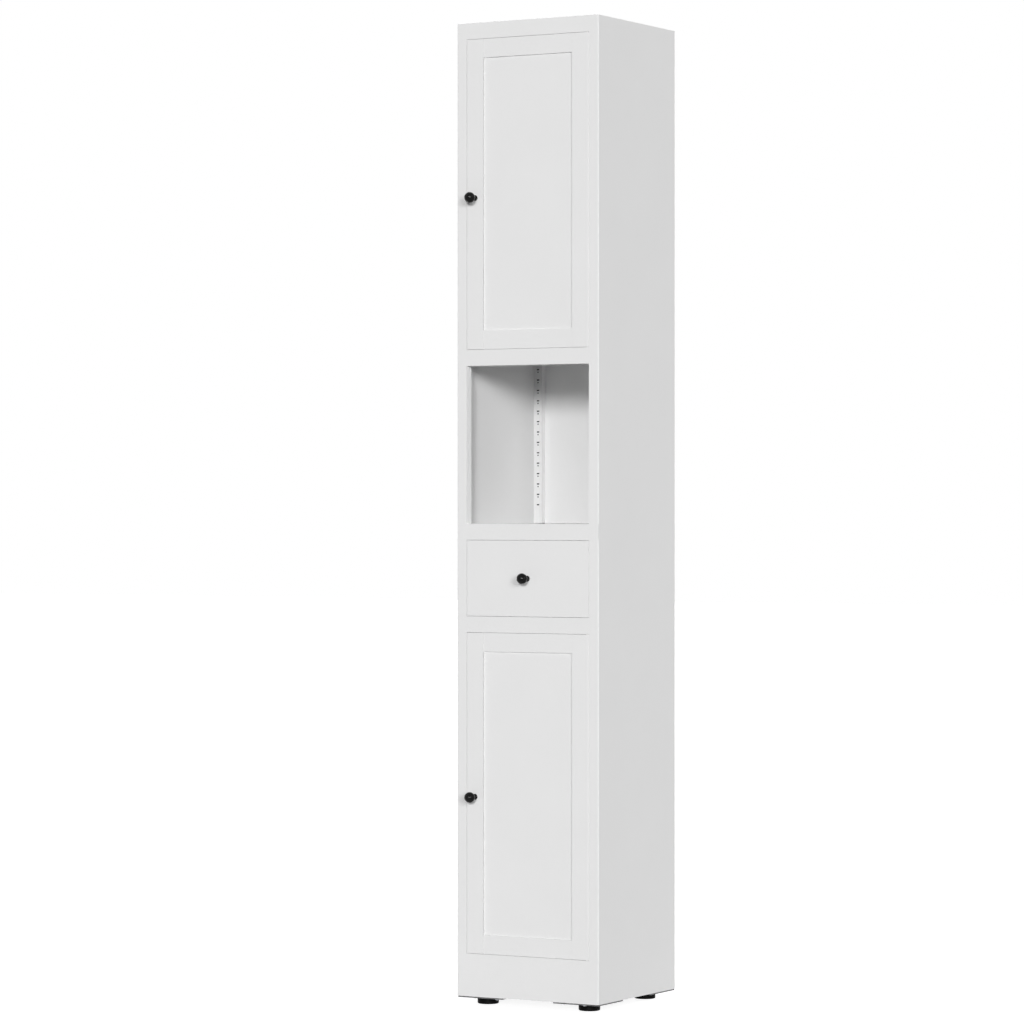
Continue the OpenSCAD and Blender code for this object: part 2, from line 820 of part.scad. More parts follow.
module runner_glides() {
    z = z_runner - runner_in_h / 2;
    color(nylon) both_sides()
        block([x_open - runner_w, x_rail], [y_lip + runner_t, y_lip + runner_t + glide_l],
            [z, z + glide_room - turn_play]);
}

module drawer_stops() {
    y = y_post - runner_t;
    color(black) both_sides()
        level_rod((x_box + runner_t + x_rail) / 2, [y - stop_l, y], z_runner, runner_w - 2 * runner_t);
}

// A floor, two sides and two ends, each a flat sheet, spot-welded at the seams
module drawer_box() {
    z = [z_drawer_floor + box_lift, z_drawer_floor + box_lift + box_h];
    y = [y_front + door_t, y_box_rear];
    z_walls = [z[0] + sheet + box_seam, z[1]];
    x_ends = x_box - sheet - box_seam;
    color(coat) {
        block([-x_box, x_box], y, [z[0], z[0] + sheet]);
        both_sides() block([x_box - sheet, x_box], y, z_walls);
        block([-x_ends, x_ends], [y[1] - sheet, y[1]], z_walls);
        difference() {
            block([-x_ends, x_ends], [y[0], y[0] + sheet], z_walls);
            drawer_knob_cut();
        }
    }
}

module drawer_knob_cut() {
    level_rod(0, [y_front - over, y_front + door_t + sheet + over], z_drawer_knob,
        knob_screw_d + 2 * turn_play);
}

module drawer_front() {
    color(coat) difference() {
        door_shell(z_drawer_floor, z_split, [door_edge_r, door_edge_r]);
        drawer_knob_cut();
    }
}

module drawer_liner() {
    color(coat) difference() {
        liner(z_drawer_floor, z_split);
        drawer_knob_cut();
    }
}

module drawer_rail() {
    z = [z_runner - rail_out_h / 2, z_runner + rail_out_h / 2];
    y = [y_front + door_t, y_box_rear];
    color(zinc) difference() {
        block([x_box, x_rail], y, z);
        block([x_box + runner_t, x_rail + over], [y[0] - over, y[1] + over],
            [z[0] + runner_t, z[1] - runner_t]);
    }
}

module drawer_glides() {
    z = [z_runner - runner_in_h / 2 + turn_play, z_runner + runner_in_h / 2 - turn_play];
    color(nylon) both_sides() block([x_box + runner_t, x_rail], [y_box_rear, y_box_rear + glide_l], z);
}

// Corner plates and feet, made for the front right corner

module at_corner(side_way, depth_way) {
    translate([0, (1 - depth_way) * (y_front + y_rear) / 2, 0]) scale([side_way, depth_way, 1]) children();
}

// Screw holes of one plate, one row along the front and one along the side
module corner_screws_at() {
    for (spot = plate_screw_spots) {
        translate([x_out - spot, y_front + plate_screw_in, 0]) children();
        translate([x_out - plate_screw_in, y_front + spot, 0]) children();
    }
}

module corner_screw_cuts(z, play) {
    for (way = [-1, 1]) at_corner(1, way) corner_screws_at() upright_rod(0, 0, z, small_screw_d + 2 * play);
}

module corner_plate() {
    x = x_out - plate_inset;
    y = y_front + plate_inset;
    through = [z_body - plate_t - over, z_body + over];
    color(steel) difference() {
        translate([0, 0, z_body - plate_t]) linear_extrude(plate_t)
            polygon([[x, y], [x, y + plate_leg], [x - plate_end, y + plate_leg],
                [x - plate_leg, y + plate_end], [x - plate_leg, y]]);
        corner_screws_at() upright_rod(0, 0, through, small_screw_d + 2 * pass_play);
        upright_rod(x_out - foot_in, y_front + foot_in, through, stud_d + 2 * pass_play);
    }
}

module corner_plate_screws() {
    color(zinc)
        for (side_way = [-1, 1], depth_way = [-1, 1])
            at_corner(side_way, depth_way) corner_screws_at() translate([0, 0, z_body - plate_t])
                mirror([0, 0, 1]) screw(small_screw_d, plate_screw_l, small_head_d, small_head_h);
}

module foot_nuts() {
    nut_flats = stud_d + bolt_flats / 2;
    height = 0.8 * stud_d;
    color(zinc)
        for (side_way = [-1, 1], depth_way = [-1, 1])
            at_corner(side_way, depth_way) translate([x_out - foot_in, y_front + foot_in, z_body])
                difference() {
                    hexagon(nut_flats, height);
                    upright_rod(0, 0, [-over, height + over], stud_d + 2 * turn_play);
                }
}

module foot() {
    color(black) translate([x_out - foot_in, y_front + foot_in, 0]) {
        rotate_extrude() {
            translate([0, pad_edge_r]) square([pad_d / 2, pad_h - pad_edge_r]);
            square([pad_d / 2 - pad_edge_r, pad_h]);
            translate([pad_d / 2 - pad_edge_r, pad_edge_r]) intersection() {
                circle(r = pad_edge_r);
                translate([0, -pad_edge_r]) square(pad_edge_r);
            }
        }
        upright_rod(0, 0, [pad_h / 2, pad_h + collar_h], collar_d);
        upright_rod(0, 0, [pad_h, pad_h + collar_h + stud_l], stud_d);
    }
}

base_pan();
on_left() lower_side();  // lower_side_left
lower_side();  // lower_side_right
lower_back_panel();
on_left() lower_post();  // lower_post_left
lower_post();  // lower_post_right
drawer_floor_pan();
middle_pan();
on_left() upper_side();  // upper_side_left
upper_side();  // upper_side_right
upper_back_panel();
on_left() upper_post();  // upper_post_left
upper_post();  // upper_post_right
niche_ceiling_pan();
top_pan();
shelf(lower_shelf_z, 0);  // lower_shelf
shelf(upper_shelf_z, 0);  // upper_shelf_low
shelf(upper_shelf_z, 1);  // upper_shelf_high
shelf_clips();
hinge_pins();
catch_housings();
catch_magnets();
catch_screws();
on_left() drawer_runner();  // drawer_runner_left
drawer_runner();  // drawer_runner_right
runner_glides();
drawer_stops();
back_screws();
joint_bolts();
joint_nuts();
at_corner(-1, 1) corner_plate();  // corner_plate_front_left
at_corner(1, 1) corner_plate();  // corner_plate_front_right
at_corner(-1, -1) corner_plate();  // corner_plate_rear_left
at_corner(1, -1) corner_plate();  // corner_plate_rear_right
corner_plate_screws();
foot_nuts();
at_corner(-1, 1) foot();  // foot_front_left
at_corner(1, 1) foot();  // foot_front_right
at_corner(-1, -1) foot();  // foot_rear_left
at_corner(1, -1) foot();  // foot_rear_right
door_skin(z_upper_floor, z_upper_top);  // upper_door_skin
door_liner(z_upper_floor, z_upper_top);  // upper_door_liner
knob(x_knob, z_upper_knob);  // upper_door_knob
knob_screw(x_knob, z_upper_knob, door_t);  // upper_knob_screw
door_bushes(z_upper_floor, z_upper_top);  // upper_door_bushes
strike_plate(z_upper_top);  // upper_strike_plate
door_skin(z_floor, z_lower_top);  // lower_door_skin
door_liner(z_floor, z_lower_top);  // lower_door_liner
knob(x_knob, z_lower_knob);  // lower_door_knob
knob_screw(x_knob, z_lower_knob, door_t);  // lower_knob_screw
door_bushes(z_floor, z_lower_top);  // lower_door_bushes
strike_plate(z_lower_top);  // lower_strike_plate
drawer_front();
drawer_liner();
drawer_box();
knob(0, z_drawer_knob);  // drawer_knob
knob_screw(0, z_drawer_knob, door_t + sheet);  // drawer_knob_screw
on_left() drawer_rail();  // drawer_rail_left
drawer_rail();  // drawer_rail_right
drawer_glides();
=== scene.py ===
import json
import math

import bmesh
import bpy
from mathutils import Matrix, Vector


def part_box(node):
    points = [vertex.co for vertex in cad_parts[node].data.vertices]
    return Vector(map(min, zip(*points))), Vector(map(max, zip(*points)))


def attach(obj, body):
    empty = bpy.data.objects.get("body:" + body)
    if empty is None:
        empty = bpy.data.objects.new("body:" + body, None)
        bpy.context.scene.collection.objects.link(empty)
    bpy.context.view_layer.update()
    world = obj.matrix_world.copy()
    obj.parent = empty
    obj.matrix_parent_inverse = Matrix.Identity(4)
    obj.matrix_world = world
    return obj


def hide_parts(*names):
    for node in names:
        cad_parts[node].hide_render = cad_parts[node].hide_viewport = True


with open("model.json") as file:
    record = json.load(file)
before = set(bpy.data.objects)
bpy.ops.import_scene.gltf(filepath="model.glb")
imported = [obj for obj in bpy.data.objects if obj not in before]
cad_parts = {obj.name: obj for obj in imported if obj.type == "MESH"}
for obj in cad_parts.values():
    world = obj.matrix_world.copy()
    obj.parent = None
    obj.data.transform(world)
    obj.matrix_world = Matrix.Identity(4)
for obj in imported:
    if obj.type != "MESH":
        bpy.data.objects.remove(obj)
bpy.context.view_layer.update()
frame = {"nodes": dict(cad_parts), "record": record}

# Carcass: side panels, pans, back panels, slotted posts, shelves, liners and drawer box.
# They are cut and folded from 0.8 mm sheet steel, and powder-coated white before they are joined.
# Bolts, hooks, screws and spot welds hold them, and they keep the shapes that the frame gives them.
SHEET = 0.0008
COAT_WHITE = (0.82, 0.82, 0.82)
SHADE_PITCH = 0.12
SHADE_DARK, SHADE_LIGHT = 0.992, 1.006
COAT_ROUGHNESS = 0.72
ROUGHNESS_PITCH = 0.02
ROUGHNESS_DRIFT = 0.04
COAT_SHINE = 0.15
PEEL_PITCH = 0.0011
PEEL_DEPTH = 0.00002
PEEL_STRENGTH = 0.5
NOISE_LOW, NOISE_HIGH = 0.3, 0.7


def shader_of(material):
    """The plain shader that a finish starts from."""
    return material.node_tree.nodes["Principled BSDF"]


def finish(name, colour, roughness, metal=0, shine=0.5):
    """A new material with one plain shader, ready for its grain and marks."""
    material = bpy.data.materials.new(name)
    material.use_nodes = True
    inputs = shader_of(material).inputs
    inputs["Base Color"].default_value = (*colour, 1)
    inputs["Roughness"].default_value = roughness
    inputs["Metallic"].default_value = metal
    inputs["Specular IOR Level"].default_value = shine
    return material


def add_node(material, kind, inputs, **settings):
    """Adds a node; each of its inputs takes a plain value or another node's output."""
    tree = material.node_tree
    node = tree.nodes.new(kind)
    for name, value in settings.items():
        setattr(node, name, value)
    for name, value in inputs.items():
        if isinstance(value, bpy.types.NodeSocket):
            tree.links.new(value, node.inputs[name])
        else:
            node.inputs[name].default_value = value
    return node


def feed(material, source, name):
    """Links a node's output to an input of the plain shader."""
    material.node_tree.links.new(source, shader_of(material).inputs[name])


def place_on(material):
    """The place on the piece, as a vector."""
    return add_node(material, "ShaderNodeTexCoord", {}).outputs["Object"]


def cloud(material, pitch, detail=2):
    """Soft noise fixed to the piece, its lumps one pitch apart, in metres."""
    noise = add_node(material, "ShaderNodeTexNoise",
                     {"Vector": place_on(material), "Scale": 1 / pitch, "Detail": detail})
    return noise.outputs["Fac"]


def vary_colour(material, dark, light, pitch, detail=2):
    """Lets the colour drift between two tones."""
    ramp = add_node(material, "ShaderNodeValToRGB", {"Fac": cloud(material, pitch, detail)})
    for stop, place, colour in zip(ramp.color_ramp.elements, (NOISE_LOW, NOISE_HIGH), (dark, light)):
        stop.position = place
        stop.color = (*colour, 1)
    feed(material, ramp.outputs["Color"], "Base Color")


def vary_roughness(material, low, high, pitch):
    """Lets the roughness drift between two numbers."""
    span = add_node(material, "ShaderNodeMapRange",
                    {"Value": cloud(material, pitch), "From Min": NOISE_LOW, "From Max": NOISE_HIGH,
                     "To Min": low, "To Max": high})
    feed(material, span.outputs["Result"], "Roughness")


def raise_grain(material, pitch, depth, strength):
    """Raises small bumps, their pitch and depth in metres."""
    bump = add_node(material, "ShaderNodeBump",
                    {"Height": cloud(material, pitch), "Distance": depth, "Strength": strength})
    feed(material, bump.outputs["Normal"], "Normal")


def shade(colour, share):
    """A colour made lighter or darker by a share."""
    return tuple(part * share for part in colour)


def coat(name, white=COAT_WHITE):
    """White powder coat, matt, with its fine orange peel."""
    material = finish(name, white, COAT_ROUGHNESS, shine=COAT_SHINE)
    vary_colour(material, shade(white, SHADE_DARK), shade(white, SHADE_LIGHT), SHADE_PITCH)
    vary_roughness(material, COAT_ROUGHNESS - ROUGHNESS_DRIFT, COAT_ROUGHNESS + ROUGHNESS_DRIFT,
                   ROUGHNESS_PITCH)
    raise_grain(material, PEEL_PITCH, PEEL_DEPTH, PEEL_STRENGTH)
    return material


def dress(material, *names):
    """Gives CAD nodes their finish."""
    for name in names:
        slots = frame["nodes"][name].data.materials
        slots.clear()
        slots.append(material)


def dress_slot(material, slot):
    """Gives all CAD nodes of one material slot their finish."""
    parts = frame["record"]["subparts"]
    dress(material, *(part["node"] for part in parts if part["material_slot"] == slot))


powder_coat = coat("powder_coat")
dress_slot(powder_coat, "powder_coat")

# Slotted posts, back panels and side panels: the same sheet and coat, in slightly different whites that
# paint light and shade.
# Inside the boxes that the posts form with the back panels, the coat is painted near black, as painted shade
# that shows dark through the slots.
# The walls that face the niche from the side are painted paler, as painted light.
# Painted shade: the posts' coat is a greyer white, to darken their fronts, which stand forward in more
# light.
POST_SHADED_WHITE = (0.75, 0.75, 0.75)
PAINTED_LIGHT_WHITE = (0.95, 0.95, 0.95)
PAINTED_CAVITY_SHADE = (0.02, 0.02, 0.021)
RETURN_DEPTH = 0.017
HALF_SHEET = SHEET / 2
post_low, post_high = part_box("upper_post_right")
side_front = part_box("upper_side_left")[0].y
door_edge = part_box("upper_door_skin")[1].x


def work_out(material, operation, *values):
    """One step of arithmetic in a material, on numbers or on other nodes' outputs."""
    step = add_node(material, "ShaderNodeMath", dict(enumerate(values)), operation=operation)
    return step.outputs["Value"]


def tone(material, colour, aside=(None, None), back=(None, None)):
    """Gives another colour between two distances from the middle plane and between two depths."""
    place = add_node(material, "ShaderNodeSeparateXYZ", {"Vector": place_on(material)})
    distances = (work_out(material, "ABSOLUTE", place.outputs["X"]), place.outputs["Y"])
    inside = 1
    for distance, limits in zip(distances, (aside, back)):
        for operation, limit in zip(("GREATER_THAN", "LESS_THAN"), limits):
            if limit is not None:
                test = work_out(material, operation, distance, limit)
                inside = work_out(material, "MULTIPLY", inside, test)
    plain = shader_of(material).inputs["Base Color"].links[0].from_socket
    mix = add_node(material, "ShaderNodeMix", {"Factor": inside, "A": plain, "B": (*colour, 1)},
                   data_type="RGBA")
    feed(material, mix.outputs["Result"], "Base Color")


boxed_coat = coat("boxed_powder_coat")
post_coat = coat("post_powder_coat", POST_SHADED_WHITE)
side_coat = coat("side_powder_coat")
post_wall = post_low.x + HALF_SHEET
post_front, post_back = post_low.y + HALF_SHEET, post_high.y + HALF_SHEET
# Painted shade: near black inside the post boxes, on the back panels and on the posts.
for material in (boxed_coat, post_coat):
    tone(material, PAINTED_CAVITY_SHADE, aside=(post_wall, None), back=(post_front, post_back))
# Painted light: a paler white on the posts' side walls that face the niche.
tone(post_coat, PAINTED_LIGHT_WHITE, aside=(None, post_wall), back=(post_front, None))
# Painted light: a paler white on the stiles' returns that face the niche.
tone(side_coat, PAINTED_LIGHT_WHITE, aside=(None, door_edge + SHEET),
     back=(side_front + SHEET, side_front + RETURN_DEPTH))
dress(boxed_coat, "upper_back_panel", "lower_back_panel")
dress(post_coat, "upper_post_left", "upper_post_right", "lower_post_left", "lower_post_right")
dress(side_coat, "upper_side_left", "upper_side_right", "lower_side_left", "lower_side_right")

# Doors: each skin is one pan-shaped pressing, its frame 35 mm wide round a sunk middle panel.
# The rails lie a little behind the stiles, so the stiles' inner edges run the whole height.
# Its edges are folded back to take the liner, and the upright steps of the sunk panel are painted grey, as
# painted shade.
FRAME_WIDTH = 0.035
RAIL_SET = 0.0007
RECESS_DEPTH = 0.0037
HINGE_BEND = 0.0018
LATCH_BEND = 0.0005
RIM_BEND = 0.0002
STEP_BEND = 0.00015
RECESS_BEND = 0.00015
BEND_STEPS = 4
SMOOTH_BELOW = 30
SAME_PLACE = 0.00001
WELD_REACH = 0.000001
PAINTED_STEP_SHADE = (0.62, 0.62, 0.62)

pressed_coat = coat("pressed_powder_coat")
step_place = door_edge - FRAME_WIDTH
# Painted shade: a greyer white on the upright steps beside the sunk panel.
tone(pressed_coat, PAINTED_STEP_SHADE, aside=(step_place - STEP_BEND, step_place + STEP_BEND))


def start_piece(name, add, stretch=(1, 1, 1), **settings):
    """Adds a primitive as a new piece, stretched to size, and opens it for editing."""
    bpy.ops.object.select_all(action="DESELECT")
    add(**settings)
    piece = bpy.context.object
    piece.name = piece.data.name = name
    piece.scale = stretch
    bpy.ops.object.transform_apply(location=True, rotation=True, scale=True)
    bpy.ops.object.mode_set(mode="EDIT")
    bpy.context.tool_settings.mesh_select_mode = (True, False, False)
    bpy.ops.mesh.select_all(action="SELECT")
    return piece


def near(a, b):
    """Whether two places along an axis are the same."""
    return abs(a - b) < SAME_PLACE


def pick(kind, test):
    """In edit mode, selects only the faces or edges whose middle passes the test."""
    mesh = bmesh.from_edit_mesh(bpy.context.object.data)
    modes = ("verts", "edges", "faces")
    bpy.context.tool_settings.mesh_select_mode = [kind == mode for mode in modes]
    bpy.ops.mesh.select_all(action="DESELECT")
    for part in getattr(mesh, kind):
        if test(sum((corner.co for corner in part.verts), Vector()) / len(part.verts), part):
            part.select_set(True)
    mesh.select_flush_mode()
    bmesh.update_edit_mesh(bpy.context.object.data)


def edge_at(x=None, y=None, z=None):
    """A test for an edge whose two ends lie at the given places along the axes."""
    def test(*ends):
        return all(near(end[axis], place) for end in ends
                   for axis, place in enumerate((x, y, z)) if place is not None)
    return test


def weld():
    """Merges doubled corners, and turns the faces outwards."""
    bpy.ops.mesh.select_all(action="SELECT")
    bpy.ops.mesh.remove_doubles(threshold=WELD_REACH)
    bpy.ops.mesh.normals_make_consistent(inside=False)


def apply_modifier(piece, kind, **settings):
    """Adds a modifier with its settings, and applies it."""
    modifier = piece.modifiers.new(kind, kind)
    for name, value in settings.items():
        setattr(modifier, name, value)
    bpy.ops.object.modifier_apply(modifier=modifier.name)


def bend(piece, radii):
    """Rounds the edges that pass a test to that test's radius, and gives the sheet its thickness."""
    bpy.ops.object.mode_set(mode="OBJECT")
    widest = max(radius for test, radius in radii)
    weights = piece.data.attributes.new("bevel_weight_edge", "FLOAT", "EDGE")
    places = [corner.co for corner in piece.data.vertices]
    for edge in piece.data.edges:
        ends = [places[i] for i in edge.vertices]
        for test, radius in radii:
            if test(*ends):
                weights.data[edge.index].value = radius / widest
    apply_modifier(piece, "BEVEL", limit_method="WEIGHT", width=widest, segments=BEND_STEPS,
                   use_clamp_overlap=False)
    bpy.ops.object.mode_set(mode="EDIT")
    weld()
    bpy.ops.object.mode_set(mode="OBJECT")
    apply_modifier(piece, "SOLIDIFY", thickness=SHEET, offset=-1)
    bpy.ops.object.mode_set(mode="EDIT")


def close_piece(piece, smooth=SMOOTH_BELOW):
    """Closes editing, with bends smooth up to an angle in degrees and the faces beside them flat."""
    weld()
    bpy.ops.object.mode_set(mode="OBJECT")
    bpy.ops.object.shade_smooth_by_angle(angle=math.radians(smooth))
    apply_modifier(piece, "WEIGHTED_NORMAL", keep_sharp=True)


def fit_piece(piece, material, body, slot, *nodes):
    """Gives a piece its finish and body, and hides the CAD nodes that it stands in for."""
    piece.data.materials.clear()
    piece.data.materials.append(material)
    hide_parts(*nodes)
    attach(piece, body)


def face_sheet(name, low, high):
    """The flat face of a door or drawer front, seen from -Y, as a sheet to be folded."""
    middle = Vector(((low.x + high.x) / 2, low.y, (low.z + high.z) / 2))
    size = (high.x - low.x, high.z - low.z, 1)
    return start_piece(name, bpy.ops.mesh.primitive_plane_add, size, size=1, location=middle,
                       rotation=(math.pi / 2, 0, 0))


def fold_edges(low, high):
    """Folds the sheet's four edges back to its full depth."""
    pick("edges", lambda at, part: near(at.x, low.x) or near(at.x, high.x))
    bpy.ops.mesh.extrude_edges_move(TRANSFORM_OT_translate={"value": (0, high.y - low.y, 0)})
    for level in (low.z, high.z):
        pick("edges", lambda at, part: near(at.z, level) and len(part.link_faces) == 1)
        bpy.ops.mesh.edge_face_add()


def door_skin(name, node, body):
    """A door's skin: its rails are set back, its panel is sunk, and its edges are folded back."""
    low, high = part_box(node)
    panel_x = high.x - FRAME_WIDTH
    panel_low, panel_high = low.z + FRAME_WIDTH, high.z - FRAME_WIDTH
    rail_y, panel_y = low.y + RAIL_SET, low.y + RECESS_DEPTH
    piece = face_sheet(name, low, high)
    cuts = [((x, 0, 0), (1, 0, 0)) for x in (-panel_x, panel_x)]
    cuts += [((0, 0, z), (0, 0, 1)) for z in (panel_low, panel_high)]
    for place, normal in cuts:
        bpy.ops.mesh.select_all(action="SELECT")
        bpy.ops.mesh.bisect(plane_co=place, plane_no=normal)
    pick("faces", lambda at, part: abs(at.x) < panel_x)
    bpy.ops.mesh.extrude_region_move(TRANSFORM_OT_translate={"value": (0, RAIL_SET, 0)})
    pick("faces", lambda at, part: near(at.z, low.z) or near(at.z, high.z))
    bpy.ops.mesh.delete(type="FACE")
    pick("faces", lambda at, part: near(at.y, rail_y) and panel_low < at.z < panel_high)
    bpy.ops.mesh.extrude_region_move(TRANSFORM_OT_translate={"value": (0, panel_y - rail_y, 0)})
    fold_edges(low, high)
    radii = [(edge_at(x=x, y=y), radius) for x in (-panel_x, panel_x)
             for y, radius in ((low.y, STEP_BEND), (panel_y, RECESS_BEND))]
    radii += [(edge_at(y=y, z=z), RECESS_BEND) for z in (panel_low, panel_high) for y in (rail_y, panel_y)]
    radii += [(edge_at(y=y, z=z), RIM_BEND) for z in (low.z, high.z) for y in (low.y, rail_y)]
    radii += [(edge_at(x=low.x, y=low.y), LATCH_BEND), (edge_at(x=high.x, y=low.y), HINGE_BEND)]
    bend(piece, radii)
    close_piece(piece)
    fit_piece(piece, pressed_coat, body, "powder_coat", node)


door_skin("upper_door_pressing", "upper_door_skin", "upper_door")
door_skin("lower_door_pressing", "lower_door_skin", "lower_door")

# Drawer front: a plain pressing of the same sheet, folded back on all four edges.
# It is screwed and spot-welded to the drawer box through the liner behind it.
low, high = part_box("drawer_front")
piece = face_sheet("drawer_front_pressing", low, high)
fold_edges(low, high)
radii = [(edge_at(x=x, y=low.y), LATCH_BEND) for x in (low.x, high.x)]
radii += [(edge_at(y=low.y, z=z), RIM_BEND) for z in (low.z, high.z)]
bend(piece, radii)
close_piece(piece)
fit_piece(piece, powder_coat, "drawer", "powder_coat", "drawer_front")

# Knobs: each is turned as one ball on a thin neck with a flared foot, and lacquered glossy black.
# A screw through the door or the drawer front pulls it tight from behind.
GLOSS_BLACK = (0.001, 0.001, 0.001)
BALL_RADIUS = 0.01
NECK_RADIUS = 0.0032
KNOB_FOOT_RADIUS = 0.0055
FOOT_RIM = 0.0008
FLARE_HEIGHT = 0.004
FLARE_START = 250
FLARE_STEPS = 8
BALL_STEPS = 20
KNOB_STEPS = 64
KNOB_SMOOTH_BELOW = 50


def turned(name, centre, axis, outline, steps):
    """A piece turned on a lathe: its outline, as radius and height, spun round an axis."""
    axis = Vector(axis)
    across = axis.orthogonal().normalized()
    places = [centre + across * radius + axis * height for radius, height in outline]
    # A small plane, merged to one point, starts the outline.
    piece = start_piece(name, bpy.ops.mesh.primitive_plane_add, size=BALL_RADIUS, location=places[0])
    bpy.ops.mesh.merge(type="CENTER")
    for here, there in zip(places, places[1:]):
        bpy.ops.mesh.extrude_vertices_move(TRANSFORM_OT_translate={"value": there - here})
    bpy.ops.mesh.select_all(action="SELECT")
    bpy.ops.mesh.spin(steps=steps, angle=2 * math.pi, center=centre, axis=axis)
    return piece


def arc(centre, radius, start, end, steps):
    """Points of a round stretch of an outline, from one angle to another, in degrees."""
    turns = [math.radians(start + (end - start) * i / steps) for i in range(steps + 1)]
    return [(centre[0] + radius * math.cos(turn), centre[1] + radius * math.sin(turn)) for turn in turns]


def centre_of(node):
    """The middle of a node's box."""
    low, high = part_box(node)
    return (low + high) / 2


def copied(piece, name, shift):
    """A copy of a piece with its own mesh, moved to its place."""
    copy = piece.copy()
    copy.data = piece.data.copy()
    copy.name = copy.data.name = name
    copy.data.transform(Matrix.Translation(shift))
    bpy.context.scene.collection.objects.link(copy)
    return copy


def fit_copies(first, ending, bodies, material, slot):
    """Copies the first node's piece to all the other nodes, and fits each one to its body."""
    start, *others = bodies
    pieces = [first] + [copied(first, node + ending, centre_of(node) - centre_of(start)) for node in others]
    for piece, (node, body) in zip(pieces, bodies.items()):
        fit_piece(piece, material, body, slot, node)


gloss_black = finish("gloss_black", GLOSS_BLACK, roughness=0.06, shine=0.14)
raise_grain(gloss_black, pitch=0.004, depth=0.00002, strength=0.2)
vary_roughness(gloss_black, low=0.05, high=0.09, pitch=0.003)

low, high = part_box("upper_door_knob")
seat = Vector(((low.x + high.x) / 2, high.y, (low.z + high.z) / 2))
reach = high.y - low.y
neck_top = -math.degrees(math.acos(NECK_RADIUS / BALL_RADIUS))
flare = arc((KNOB_FOOT_RADIUS, FLARE_HEIGHT), KNOB_FOOT_RADIUS - NECK_RADIUS,
            start=FLARE_START, end=180, steps=FLARE_STEPS)
ball = arc((0, reach - BALL_RADIUS), BALL_RADIUS, start=neck_top, end=90, steps=BALL_STEPS)
knob_outline = [(0, 0), (KNOB_FOOT_RADIUS - FOOT_RIM / 2, 0), (KNOB_FOOT_RADIUS, FOOT_RIM / 2),
                (KNOB_FOOT_RADIUS - FOOT_RIM / 2, FOOT_RIM), *flare[1:], *ball[:-1], (0, reach)]
knob = turned("upper_door_knob_turned", seat, (0, -1, 0), knob_outline, KNOB_STEPS)
close_piece(knob, KNOB_SMOOTH_BELOW)
knob_bodies = {"upper_door_knob": "upper_door", "lower_door_knob": "lower_door", "drawer_knob": "drawer"}
fit_copies(knob, "_turned", knob_bodies, gloss_black, "black_gloss")

# Feet: a black moulded pad with a short collar, on an M8 stud of zinc-plated steel.
# The stud screws up through the corner plate into a nut inside the plinth, to level the cabinet.
FOOT_BLACK = (0.002, 0.002, 0.002)
ZINC = (0.62, 0.63, 0.65)
ZINC_BLUE = (0.56, 0.58, 0.62)
ZINC_YELLOW = (0.68, 0.68, 0.66)
PAD_HEIGHT = 0.01
PAD_EDGE = 0.0025
PAD_EDGE_STEPS = 8
PAD_RIM = 0.0008
PAD_RIM_STEPS = 4
COLLAR_RADIUS = 0.008
COLLAR_HEIGHT = 0.0035
STUD_RADIUS = 0.004
THREAD_PITCH = 0.00125
THREAD_DEPTH = 0.0007
FOOT_STEPS = 48

foot_plastic = finish("foot_plastic", FOOT_BLACK, roughness=0.4, shine=0.05)
raise_grain(foot_plastic, pitch=0.0007, depth=0.00003, strength=0.5)
vary_roughness(foot_plastic, low=0.34, high=0.5, pitch=0.006)
zinc_plate = finish("zinc_plate", ZINC, roughness=0.3, metal=1)
vary_colour(zinc_plate, ZINC_BLUE, ZINC_YELLOW, pitch=0.004)
vary_roughness(zinc_plate, low=0.24, high=0.4, pitch=0.002)
raise_grain(zinc_plate, pitch=0.0005, depth=0.00001, strength=0.4)

foot_names = [f"foot_{end}_{side}" for end in ("front", "rear") for side in ("left", "right")]
foot_bodies = {name: name for name in foot_names}
low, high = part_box("foot_front_left")
seat = Vector(((low.x + high.x) / 2, (low.y + high.y) / 2, low.z))
pad_radius, stud_top = (high.x - low.x) / 2, high.z - low.z
collar_top = PAD_HEIGHT + COLLAR_HEIGHT
lower_edge = arc((pad_radius - PAD_EDGE, PAD_EDGE), PAD_EDGE, start=270, end=360, steps=PAD_EDGE_STEPS)
upper_edge = arc((pad_radius - PAD_RIM, PAD_HEIGHT - PAD_RIM), PAD_RIM, start=0, end=90, steps=PAD_RIM_STEPS)
pad_outline = [(0, 0), *lower_edge, *upper_edge,
               (COLLAR_RADIUS + PAD_RIM, PAD_HEIGHT), (COLLAR_RADIUS, PAD_HEIGHT + PAD_RIM),
               (COLLAR_RADIUS, collar_top - PAD_RIM / 2), (COLLAR_RADIUS - PAD_RIM / 2, collar_top),
               (0, collar_top)]
threads = int((stud_top - collar_top) / THREAD_PITCH) - 1
thread = [(STUD_RADIUS - THREAD_DEPTH * (i % 2), collar_top + THREAD_PITCH * (i + 1) / 2)
          for i in range(2 * threads)]
stud_outline = [(0, PAD_HEIGHT), (STUD_RADIUS, PAD_HEIGHT), *thread, (STUD_RADIUS - THREAD_DEPTH, stud_top),
                (0, stud_top)]
for ending, outline, material in (("_pad", pad_outline, foot_plastic), ("_stud", stud_outline, zinc_plate)):
    foot = turned("foot_front_left" + ending, seat, (0, 0, 1), outline, FOOT_STEPS)
    close_piece(foot)
    fit_copies(foot, ending, foot_bodies, material, "foot_plastic")

